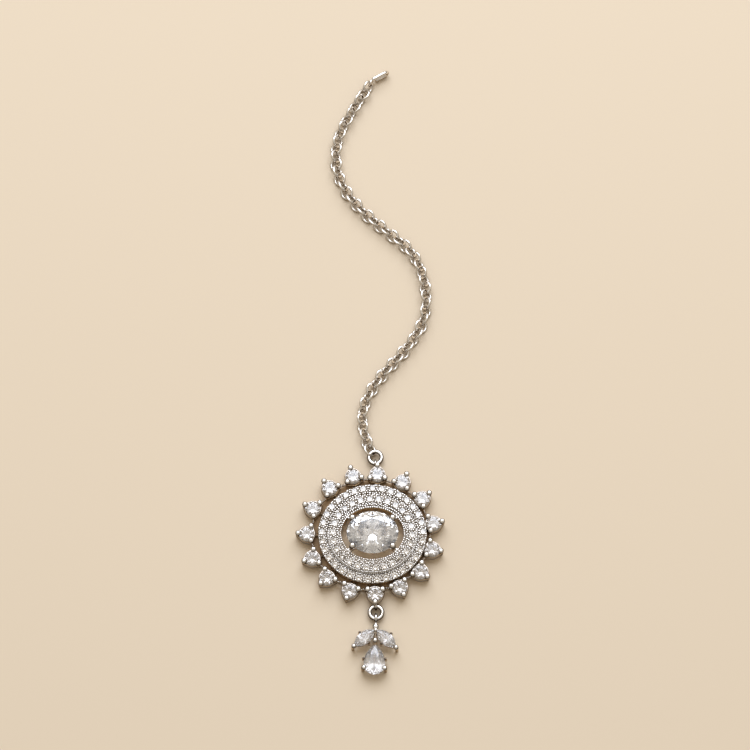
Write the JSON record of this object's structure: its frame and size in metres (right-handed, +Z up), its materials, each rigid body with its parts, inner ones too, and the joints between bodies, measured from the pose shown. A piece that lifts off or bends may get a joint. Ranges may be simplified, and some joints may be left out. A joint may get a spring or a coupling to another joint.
{
  "type": "maang tikka",
  "caption": "Hair ornament: a sunburst pendant with an oval stone in a stepped pave ring edged with round stones, a leaf and pear drop below, and a fine link chain ending in a small hook.",
  "frame": {"origin": "on the surface that the ornament lies on, under the middle of its whole length and width", "axes": "+X right, +Y from the pendant along the chain to the hook, +Z up out of the stones' tables"},
  "size_m": [0.0348, 0.1484, 0.0063],
  "materials": {
    "polished_metal": "rhodium-plated silver, cast, soldered and mirror polished",
    "chain_metal": "rhodium-plated round wire links, polished",
    "clear_stone": "colourless cubic zirconia, brilliant cut and polished"
  },
  "bodies": {
    "root": {"top_jump_ring": "polished_metal", "pendant_frame": "polished_metal", "lower_jump_ring": "polished_metal", "drop_frame": "polished_metal", "hair_hook": "polished_metal", "chain": "chain_metal", "centre_stone": "clear_stone", "sun_stone_01": "clear_stone", "sun_stone_02": "clear_stone", "sun_stone_03": "clear_stone", "sun_stone_04": "clear_stone", "sun_stone_05": "clear_stone", "sun_stone_06": "clear_stone", "sun_stone_07": "clear_stone", "sun_stone_08": "clear_stone", "sun_stone_09": "clear_stone", "sun_stone_10": "clear_stone", "sun_stone_11": "clear_stone", "sun_stone_12": "clear_stone", "sun_stone_13": "clear_stone", "sun_stone_14": "clear_stone", "sun_stone_15": "clear_stone", "marquise_stone_left": "clear_stone", "marquise_stone_right": "clear_stone", "pear_stone": "clear_stone"}
  },
  "joints": []
}
